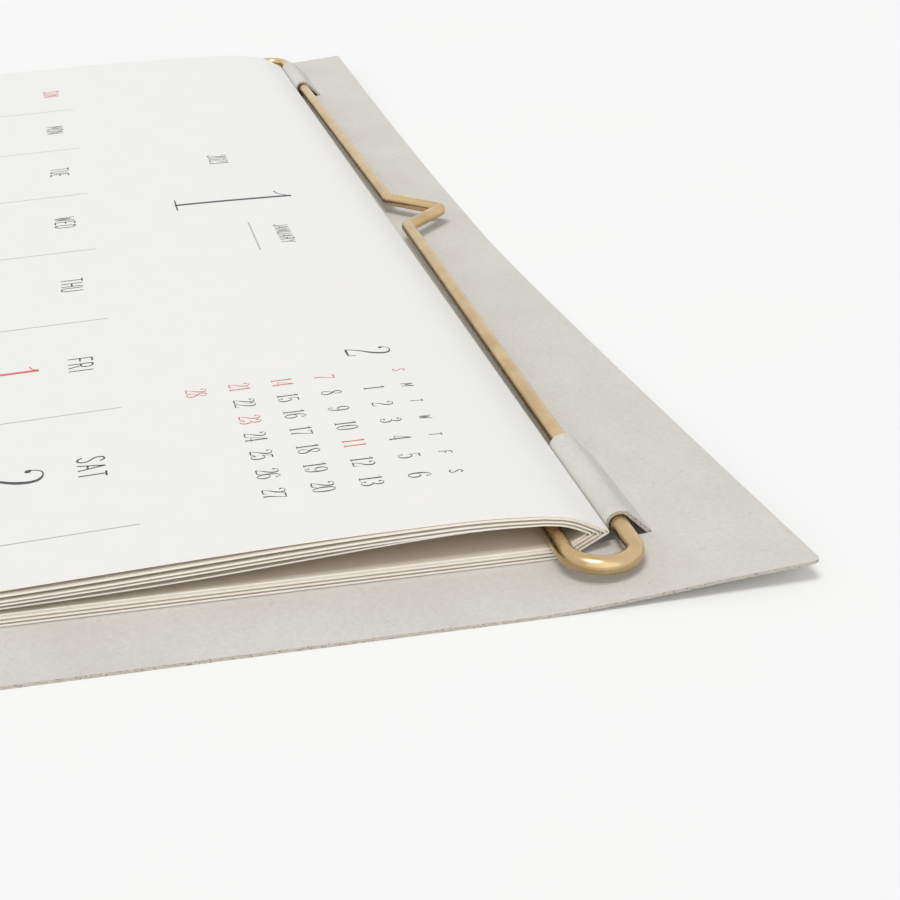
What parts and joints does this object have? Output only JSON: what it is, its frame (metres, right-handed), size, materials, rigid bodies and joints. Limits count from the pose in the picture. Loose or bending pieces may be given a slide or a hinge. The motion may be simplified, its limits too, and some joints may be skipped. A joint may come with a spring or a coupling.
{
  "type": "wall calendar",
  "caption": "Wall calendar of loose folded paper sheets nested on a long brass wire loop with a V hanging hook, held by two die-cut flaps on a larger card backing board.",
  "frame": {"origin": "middle of the backing board's footprint, at the board's back face", "axes": "+X to the calendar's right, +Y towards its top edge and hanging hook, +Z out of its front; it lies on its back"},
  "size_m": [0.324, 0.251, 0.008],
  "materials": {
    "board": "uncoated grey recycled card",
    "wire": "satin drawn wire",
    "sheet": "uncoated white paper"
  },
  "bodies": {
    "root": {"backing_board": "board", "wire_hanger": "wire", "folded_sheet_1": "sheet", "folded_sheet_2": "sheet", "folded_sheet_3": "sheet", "folded_sheet_4": "sheet", "folded_sheet_5": "sheet", "folded_sheet_6": "sheet", "folded_sheet_7": "sheet"}
  },
  "joints": []
}
